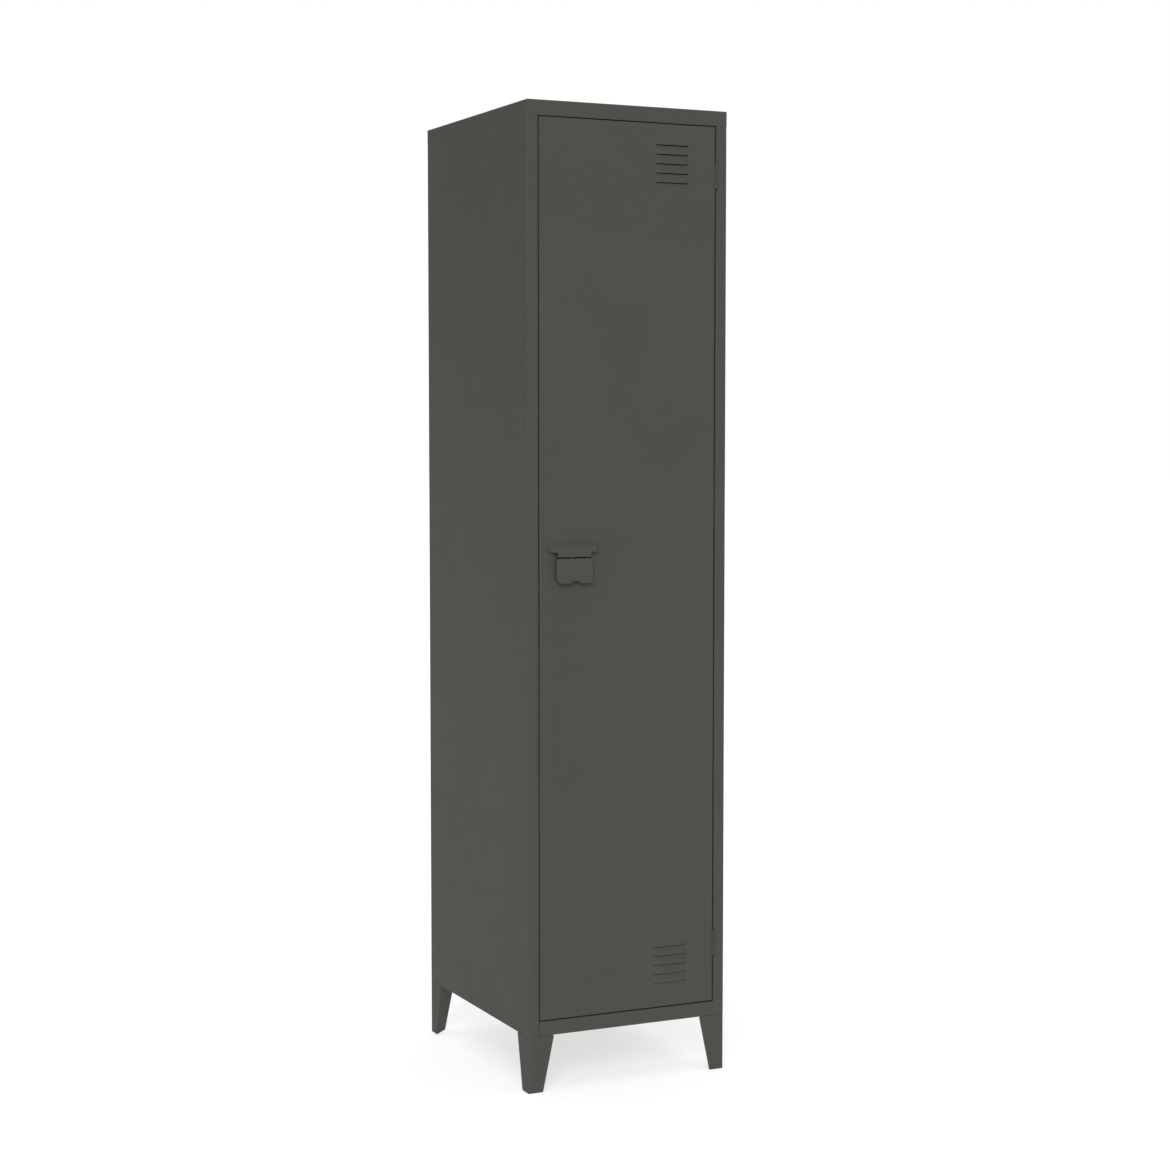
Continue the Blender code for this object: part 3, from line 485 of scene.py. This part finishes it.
def solid_piece(name, radius):
    """Solid part with every sharp edge rounded."""
    bm = welded_copy(name)
    bevel(bm, [edge for edge in bm.edges if sharp(edge)], radius, ROUND_STEPS)
    bmesh.ops.dissolve_degenerate(bm, dist=SLIVER, edges=bm.edges)
    return add_piece(name + "_part", bm, name)


# ---------------------------------------------------------------- lofted shapes

ARC_STEPS = 5


def quarter_turn():
    """Angles from 0 to a right angle, in even steps."""
    return [math.pi / 2 * step / ARC_STEPS for step in range(ARC_STEPS + 1)]


def closed_outline(corners, radii):
    """Outline with right-angled corners, each rounded to its own radius."""
    points = []
    count = len(corners)
    for index, radius in enumerate(radii):
        corner = Vector(corners[index])
        back = (Vector(corners[index - 1]) - corner).normalized()
        ahead = (Vector(corners[(index + 1) % count]) - corner).normalized()
        centre = corner + (back + ahead) * radius
        for angle in quarter_turn():
            points.append(centre - radius * (ahead * math.cos(angle) + back * math.sin(angle)))
    return points


def loft(bm, rings, closed=False):
    """Closed skin through rings of points: joined end to end when closed, else capped at both ends."""
    rows = [[bm.verts.new(point) for point in ring] for ring in rings]
    if closed:
        rows.append(rows[0])
    for near, far in zip(rows, rows[1:]):
        for index in range(len(near)):
            following = (index + 1) % len(near)
            bm.faces.new((near[index], near[following], far[following], far[index]))
    if not closed:
        bm.faces.new(rows[0][::-1])
        bm.faces.new(rows[-1])
    bmesh.ops.recalc_face_normals(bm, faces=bm.faces)


def temporary(name, bm):
    """Object that holds a mesh while others are cut out of it."""
    mesh = bpy.data.meshes.new(name)
    bm.to_mesh(mesh)
    bm.free()
    made = bpy.data.objects.new(name, mesh)
    bpy.context.scene.collection.objects.link(made)
    return made


def carved(body_bm, tool_bms):
    """Mesh of one solid with others cut out of it."""
    body = temporary("carved", body_bm)
    tools = [temporary("tool", tool) for tool in tool_bms]
    for tool in tools:
        cut = body.modifiers.new("cut", "BOOLEAN")
        cut.operation = "DIFFERENCE"
        cut.solver = "EXACT"
        cut.object = tool
    graph = bpy.context.evaluated_depsgraph_get()
    mesh = bpy.data.meshes.new_from_object(body.evaluated_get(graph))
    bm = bmesh.new()
    bm.from_mesh(mesh)
    bpy.data.meshes.remove(mesh)
    for item in (body, *tools):
        mesh = item.data
        bpy.data.objects.remove(item)
        bpy.data.meshes.remove(mesh)
    bmesh.ops.remove_doubles(bm, verts=bm.verts, dist=CUT_WELD)
    edge_layer(bm)
    return bm


def mark_edge_rows(bm, rows, count):
    """Mark the loft faces of some rows as rounded edge."""
    layer = edge_layer(bm)
    bm.faces.ensure_lookup_table()
    for row in rows:
        for index in range(count):
            bm.faces[row * count + index][layer] = 1.0


# ---------------------------------------------------------------- door

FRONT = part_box("side_panel_left")[0][1]
DOOR_DEPTH = 18 * MM
DOOR_LIP = 12 * MM
DOOR_FOLD_ABOVE = math.radians(80)
NEARLY = 0.01 * MM

LOUVER_COUNT = 5
LOUVER_PITCH = 17.5 * MM
LOUVER_LENGTH = 70 * MM
LOUVER_CENTRE = 91 * MM
LOUVER_RISE = 12.5 * MM
LOUVER_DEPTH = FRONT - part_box("door_skin")[0][1]
LOUVER_MOUTH = 1.2 * MM
LOUVER_END = 9 * MM
LOUVER_END_STEPS = 6
LOUVER_RISE_STEPS = 8
LOUVER_INNER = 9 * MM
LOUVER_SLOPE = 0.35
LOUVER_GROUPS = (220 * MM, 1746 * MM)

HANDLE_X, _, PIVOT_Z = next(
    joint["pos_m"] for joint in frame["joints"] if joint["name"] == "handle_pull"
)
TAIL_SLOT_HALF = 5 * MM
TAIL_SLOT_LOW = PIVOT_Z - 7 * MM
TAIL_SLOT_HIGH = PIVOT_Z + 3 * MM


def eased(share):
    """Share from 0 to 1 that starts and ends gently."""
    return share * share * (3 - 2 * share)


def louver_lift(x, rise):
    """How far a louver stands out, from 0 to 1: easing out of the door, fullest at its lip."""
    inset = (LOUVER_LENGTH / 2 - abs(x - LOUVER_CENTRE)) / LOUVER_END
    climb = 1.0 - rise
    return eased(max(0.0, min(1.0, inset))) * (LOUVER_SLOPE * climb + (1 - LOUVER_SLOPE) * eased(climb))


def door_columns(low, high):
    """Places across the door of its grid's columns, close together where a louver's ends rise."""
    half = LOUVER_LENGTH / 2
    steps = [LOUVER_END * step / LOUVER_END_STEPS for step in range(LOUVER_END_STEPS + 1)]
    columns = [low, HANDLE_X - TAIL_SLOT_HALF, HANDLE_X + TAIL_SLOT_HALF, high]
    columns += [LOUVER_CENTRE - LOUVER_INNER, LOUVER_CENTRE + LOUVER_INNER]
    columns += [LOUVER_CENTRE - half + step for step in steps]
    columns += [LOUVER_CENTRE + half - step for step in steps]
    return sorted(columns)


def door_rows(low, high):
    """Heights of the grid's rows, each with its place on a louver, or None on the flat."""
    shares = [step / LOUVER_RISE_STEPS for step in range(LOUVER_RISE_STEPS + 1)]
    rows = [(low, None), (high, None), (TAIL_SLOT_LOW, None), (TAIL_SLOT_HIGH, None)]
    for group in LOUVER_GROUPS:
        for step in range(LOUVER_COUNT):
            lip = group + (step - (LOUVER_COUNT - 1) / 2) * LOUVER_PITCH
            rows.append((lip - LOUVER_MOUTH, None))
            rows += [(lip + LOUVER_RISE * share, share) for share in shares]
    return sorted(rows, key=lambda row: row[0])


def is_open(column, next_column, row, next_row):
    """The slit under a louver's lip, or the slot for the handle's tail."""
    x = (column + next_column) / 2
    z = (row[0] + next_row[0]) / 2
    slit = row[1] is None and next_row[1] == 0.0 and abs(x - LOUVER_CENTRE) < LOUVER_LENGTH / 2
    tail = abs(x - HANDLE_X) < TAIL_SLOT_HALF and TAIL_SLOT_LOW < z < TAIL_SLOT_HIGH
    return slit or tail


def door_face(bm, columns, rows):
    """Grid of the door's front, with its louvers raised and their slits open."""
    grid = []
    for z, share in rows:
        lift = [0.0 if share is None else louver_lift(x, share) for x in columns]
        grid.append([bm.verts.new((x, FRONT - LOUVER_DEPTH * out, z)) for x, out in zip(columns, lift)])
    for j in range(len(rows) - 1):
        for i in range(len(columns) - 1):
            if not is_open(columns[i], columns[i + 1], rows[j], rows[j + 1]):
                bm.faces.new((grid[j][i], grid[j][i + 1], grid[j + 1][i + 1], grid[j + 1][i]))
    return grid


def folded_rim(bm, grid, low, high):
    """Flange folded back from the grid's outline, and the lip folded in from the flange."""
    rim = grid[0] + [row[-1] for row in grid[1:]] + grid[-1][-2::-1] + [row[0] for row in grid[-2:0:-1]]
    back = FRONT + DOOR_DEPTH
    flange = [bm.verts.new((vertex.co.x, back, vertex.co.z)) for vertex in rim]
    lip = []
    for vertex in rim:
        x = min(max(vertex.co.x, low[0] + DOOR_LIP), high[0] - DOOR_LIP)
        z = min(max(vertex.co.z, low[2] + DOOR_LIP), high[2] - DOOR_LIP)
        lip.append(bm.verts.new((x, back, z)))
    for near, far in ((rim, flange), (flange, lip)):
        for index in range(len(near)):
            following = (index + 1) % len(near)
            bm.faces.new((near[following], near[index], far[index], far[following]))


def door_folds(bm):
    """Edges where the door's sheet is folded back and folded in."""
    return [
        edge for edge in bm.edges
        if len(edge.link_faces) == 2 and edge.calc_face_angle(0.0) > DOOR_FOLD_ABOVE
        and all(vertex.co.y > FRONT - NEARLY for vertex in edge.verts)
    ]


def door_skin():
    """Front face with pressed louvers, folded back and lipped on all four edges."""
    low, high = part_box("door_skin")
    bm = bmesh.new()
    grid = door_face(bm, door_columns(low[0], high[0]), door_rows(low[2], high[2]))
    folded_rim(bm, grid, low, high)
    bmesh.ops.remove_doubles(bm, verts=bm.verts, dist=NEARLY)
    edge_layer(bm)
    bevel(bm, door_folds(bm), FOLD_INNER + SHEET, FOLD_OUTER_STEPS)
    piece = add_piece("door_panel", bm, "door_skin")
    shell = piece.modifiers.new("gauge", "SOLIDIFY")
    shell.thickness = SHEET
    shell.offset = -1.0
    shell.use_even_offset = True
    # The sheet gets its thickness first, and then its shading.
    piece.modifiers.move(1, 0)
    return piece


# ---------------------------------------------------------------- handle

HOOD_LOW, HOOD_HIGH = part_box("handle_hood")
HOOD_HALF = (HOOD_HIGH[0] - HOOD_LOW[0]) / 2
HOOD_TOP = HOOD_HIGH[2]
HOOD_RISE = FRONT - HOOD_LOW[1]
HOOD_TOP_DRAFT = 10 * MM
HOOD_END_DRAFT = 6 * MM
HOOD_WALL = 1.5 * MM
HOOD_ROUND = 1.5 * MM
HOOD_CORNER = 3.0 * MM
HOOD_CORNER_LEAST = 0.4 * MM
HOOD_STAND_OFF = 0.3 * MM
HOOD_BEHIND = 1 * MM
HOOD_OPEN = 4 * MM
TONGUE_HALF = 34 * MM
TONGUE_DROP = 9 * MM
TONGUE_EDGE = HOOD_LOW[2]
TONGUE_CORNER = 1.2 * MM
TONGUE_ROOT = 1.0 * MM
HOOD_EDGE = TONGUE_EDGE + TONGUE_DROP

PADDLE_LOW, PADDLE_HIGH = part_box("handle_paddle")
PADDLE_HALF = (PADDLE_HIGH[0] - PADDLE_LOW[0]) / 2
PADDLE_HEIGHT = 46.5 * MM
PADDLE_BOTTOM = PADDLE_LOW[2]
PADDLE_TOP = PADDLE_BOTTOM + PADDLE_HEIGHT
PADDLE_GAP = 1.5 * MM
PADDLE_RISE_TOP = 10 * MM - PADDLE_GAP
PADDLE_RISE_BOTTOM = FRONT - PADDLE_LOW[1] - PADDLE_GAP
PADDLE_DEPTH = (PADDLE_RISE_TOP + PADDLE_RISE_BOTTOM) / 2
PADDLE_WALL = 2 * MM
PADDLE_ROUND = 1.6 * MM
PADDLE_CORNER = 8 * MM
PADDLE_CREASE = 1.5 * MM
PADDLE_BEHIND = 0.2
NOTCH_HALF = 8 * MM
NOTCH_HEIGHT = 4 * MM

CAST_CORNER_LEAST = 0.2 * MM
CAST_RIM = 0.25 * MM
HUB_CUT = 1.0 * MM
HUB_ROUND = 0.2 * MM
HUB_EDGE_LEAST = 3 * MM
CUT_WITHIN = 0.001 * MM


def hood_ring(inset, out, reach=0.0):
    """Outline of the hood at a distance out from the door; reach lengthens its tongue."""
    share = out / HOOD_RISE
    half = HOOD_HALF - HOOD_END_DRAFT * share - inset
    top = HOOD_TOP - HOOD_TOP_DRAFT * share - inset
    edge = HOOD_EDGE + inset
    tongue = TONGUE_HALF - inset
    tip = TONGUE_EDGE + inset - reach
    corners = [
        (-tongue, tip), (tongue, tip), (tongue, edge), (half, edge),
        (half, top), (-half, top), (-half, edge), (-tongue, edge),
    ]
    small = max(TONGUE_CORNER - inset, CAST_CORNER_LEAST)
    large = max(HOOD_CORNER - inset, HOOD_CORNER_LEAST)
    root = TONGUE_ROOT + inset
    radii = [small, small, root, large, large, large, large, root]
    return [(HANDLE_X + u, FRONT - out, v) for u, v in closed_outline(corners, radii)]


def rounded_rings(ring, start, end, radius):
    """Rings that run straight from start to near end, then turn in over a rounded edge."""
    rings = [ring(CAST_RIM, start), ring(0.0, start + CAST_RIM)]
    for angle in quarter_turn():
        rings.append(ring(radius * (1 - math.cos(angle)), end - radius * (1 - math.sin(angle))))
    return rings


def cast_shell(rings):
    """Solid through rings, with the faces of its rounded outer edge marked."""
    shell = bmesh.new()
    loft(shell, rings)
    mark_edge_rows(shell, range(2, len(rings) - 1), len(rings[0]))
    return shell


def handle_hood():
    """Fixed upper part of the handle, hollow, and open at its back and under its tongue."""
    shell = cast_shell(rounded_rings(hood_ring, HOOD_STAND_OFF, HOOD_RISE, HOOD_ROUND))
    cavity = bmesh.new()
    loft(cavity, [
        hood_ring(HOOD_WALL, -HOOD_BEHIND, HOOD_OPEN),
        hood_ring(HOOD_WALL, HOOD_RISE - HOOD_WALL, HOOD_OPEN),
    ])
    return add_piece("handle_hood_cast", carved(shell, [cavity]), "handle_hood")


def paddle_ring(inset, share):
    """Outline of the pull; share runs from 0 at its rear rim to 1 at its leaning face."""
    half = PADDLE_HALF - inset
    top = PADDLE_TOP - inset
    bottom = PADDLE_BOTTOM + inset
    notch = NOTCH_HALF + inset
    notch_top = bottom + NOTCH_HEIGHT
    corners = [
        (-half, bottom), (-notch, bottom), (-notch, notch_top), (notch, notch_top),
        (notch, bottom), (half, bottom), (half, top), (-half, top),
    ]
    large = PADDLE_CORNER - inset
    small = max(PADDLE_CREASE - inset, CAST_CORNER_LEAST)
    root = PADDLE_CREASE + inset
    ring = []
    for u, v in closed_outline(corners, [large, small, root, root, small, large, small, small]):
        drop = (PADDLE_TOP - v) / PADDLE_HEIGHT
        rise = PADDLE_RISE_TOP + (PADDLE_RISE_BOTTOM - PADDLE_RISE_TOP) * drop
        ring.append((HANDLE_X + u, FRONT - PADDLE_GAP - rise * share, v))
    return ring


def paddle_ring_out(inset, out):
    """Outline of the pull at a mean distance out from its rear rim."""
    return paddle_ring(inset, out / PADDLE_DEPTH)


def handle_pull():
    """The pull under the hood, hollow behind."""
    shell = cast_shell(rounded_rings(paddle_ring_out, 0.0, PADDLE_DEPTH, PADDLE_ROUND))
    cavity = bmesh.new()
    loft(cavity, [
        paddle_ring(PADDLE_WALL, -PADDLE_BEHIND),
        paddle_ring_out(PADDLE_WALL, PADDLE_DEPTH - PADDLE_WALL),
    ])
    return add_piece("handle_pull_cast", carved(shell, [cavity]), "handle_paddle")


def pull_hubs():
    """The pull's pivot hubs and tail: the part of the CAD solid above the pull's upper wall."""
    bm = welded_copy("handle_paddle")
    cut = bmesh.ops.bisect_plane(
        bm, geom=bm.verts[:] + bm.edges[:] + bm.faces[:], dist=CUT_WITHIN,
        plane_co=(0.0, 0.0, PADDLE_TOP - HUB_CUT), plane_no=(0.0, 0.0, 1.0), clear_inner=True,
    )
    open_edges = [item for item in cut["geom_cut"] if isinstance(item, bmesh.types.BMEdge)]
    bmesh.ops.holes_fill(bm, edges=open_edges)
    long_edges = [edge for edge in bm.edges if sharp(edge) and edge.calc_length() > HUB_EDGE_LEAST]
    bevel(bm, long_edges, HUB_ROUND, ROUND_STEPS)
    return add_piece("handle_pull_hubs", bm, "handle_paddle")


# ---------------------------------------------------------------- turned parts and spring

PIN_END = 0.4 * MM
RAIL_END = 0.15 * MM
RAIL_BORE = 0.88
RAIL_RIM = 0.985
HINGE_SHANK = 0.6

# A profile lists places along the axis, each a share of half the length and an offset,
# and the radius there, as a share of the full radius.
PIN_PROFILE = [
    (-1, 0.0, 0.70), (-1, 0.3 * PIN_END, 0.90), (-1, PIN_END, 1.0),
    (1, -PIN_END, 1.0), (1, -0.3 * PIN_END, 0.90), (1, 0.0, 0.70),
]
TUBE_PROFILE = [
    (-1, RAIL_END, 1.0), (1, -RAIL_END, 1.0), (1, 0.0, RAIL_RIM),
    (1, 0.0, RAIL_BORE), (-1, 0.0, RAIL_BORE), (-1, 0.0, RAIL_RIM),
]
HINGE_PIN_PROFILE = [
    (-1, 0.0, 0.45), (-1, 0.3 * MM, HINGE_SHANK), (1, -1.1 * MM, HINGE_SHANK), (1, -1.1 * MM, 0.94),
    (1, -0.95 * MM, 1.0), (1, -0.3 * MM, 1.0), (1, -0.1 * MM, 0.95), (1, 0.0, 0.82),
]


def turned_piece(name, node, axis, profile, segments=32, hollow=False):
    """Part of revolution that fills a node's box along one axis."""
    low, high = (Vector(corner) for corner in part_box(node))
    centre = (low + high) / 2
    spread = (high - low) / 2
    others = [index for index in range(3) if index != axis]
    radius = min(spread[index] for index in others)
    rings = []
    for along, offset, share in profile:
        ring = []
        for step in range(segments):
            angle = 2 * math.pi * step / segments
            point = centre.copy()
            point[axis] += spread[axis] * along + offset
            point[others[0]] += radius * share * math.cos(angle)
            point[others[1]] += radius * share * math.sin(angle)
            ring.append(point)
        rings.append(ring)
    bm = bmesh.new()
    loft(bm, rings, closed=hollow)
    return add_piece(name, bm, node)


def spring_piece():
    """The pull's torsion spring, whose CAD coil is fine enough as it is."""
    bm = welded_copy("handle_return_spring")
    return add_piece("handle_spring_wire", bm, "handle_return_spring", "spring_steel")


# ---------------------------------------------------------------- the scene

add_camera()
add_world()
add_floor()
add_sun("key", KEY_DIRECTION, KEY_ENERGY, KEY_ANGLE)
add_sun("overhead", TOP_DIRECTION, TOP_ENERGY, TOP_ANGLE)
add_sun("back_fill", BACK_DIRECTION, BACK_ENERGY, BACK_ANGLE)

for part in SHEET_PARTS:
    folded_piece(part, SHEET)
for leg in LEGS:
    folded_piece(leg, LEG_SHEET)
door_skin()
handle_hood()
handle_pull()
pull_hubs()
turned_piece("handle_pin_turned", "handle_pivot_pin", 0, PIN_PROFILE)
turned_piece("coat_rail_tube", "coat_rail", 0, TUBE_PROFILE, segments=48, hollow=True)
for place in ("lower", "upper"):
    turned_piece("hinge_pin_%s_turned" % place, "hinge_pin_" + place, 2, HINGE_PIN_PROFILE)
for node in NODES:
    for family, radius in ROUNDED_PARTS.items():
        if node.startswith(family):
            solid_piece(node, radius * MM)
spring_piece()
